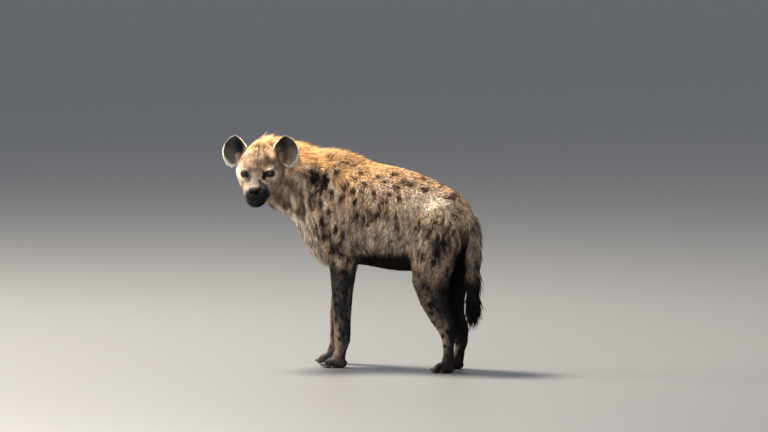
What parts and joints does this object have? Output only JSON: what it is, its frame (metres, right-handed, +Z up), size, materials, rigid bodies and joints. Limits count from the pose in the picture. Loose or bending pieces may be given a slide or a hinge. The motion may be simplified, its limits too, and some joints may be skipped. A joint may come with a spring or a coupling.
{
  "type": "spotted hyena model",
  "caption": "Life-size still model of a spotted hyena standing on all fours, its head turned to look back past its left shoulder.",
  "frame": {"origin": "on the floor, under the middle of the whole animal's box", "axes": "-Y the way the body faces, +X its left side, +Z up"},
  "size_m": [0.4738, 1.0018, 0.8654],
  "materials": {
    "coat": "shaggy tan coat with dark spots",
    "mane": "long golden mane",
    "dark_coat": "short dark brown coat, mottled",
    "face": "short flat coat",
    "ear": "thin short coat",
    "brush": "long black hair",
    "nose": "damp pebbled skin",
    "eye": "wet, glossy",
    "claw": "worn horn"
  },
  "bodies": {
    "root": {"trunk": "coat", "neck": "mane", "head": "face", "lower_jaw": "face", "nose": "nose", "left_eye": "eye", "right_eye": "eye", "left_ear": "ear", "right_ear": "ear", "tail": "coat", "tail_brush": "brush", "left_fore_shoulder": "coat", "left_fore_forearm": "dark_coat", "left_fore_paw": "dark_coat", "left_fore_claw_1": "claw", "left_fore_claw_2": "claw", "left_fore_claw_3": "claw", "left_fore_claw_4": "claw", "right_fore_shoulder": "coat", "right_fore_forearm": "dark_coat", "right_fore_paw": "dark_coat", "right_fore_claw_1": "claw", "right_fore_claw_2": "claw", "right_fore_claw_3": "claw", "right_fore_claw_4": "claw", "left_hind_thigh": "coat", "left_hind_shank": "dark_coat", "left_hind_paw": "dark_coat", "left_hind_claw_1": "claw", "left_hind_claw_2": "claw", "left_hind_claw_3": "claw", "left_hind_claw_4": "claw", "right_hind_thigh": "coat", "right_hind_shank": "dark_coat", "right_hind_paw": "dark_coat", "right_hind_claw_1": "claw", "right_hind_claw_2": "claw", "right_hind_claw_3": "claw", "right_hind_claw_4": "claw"}
  },
  "joints": []
}
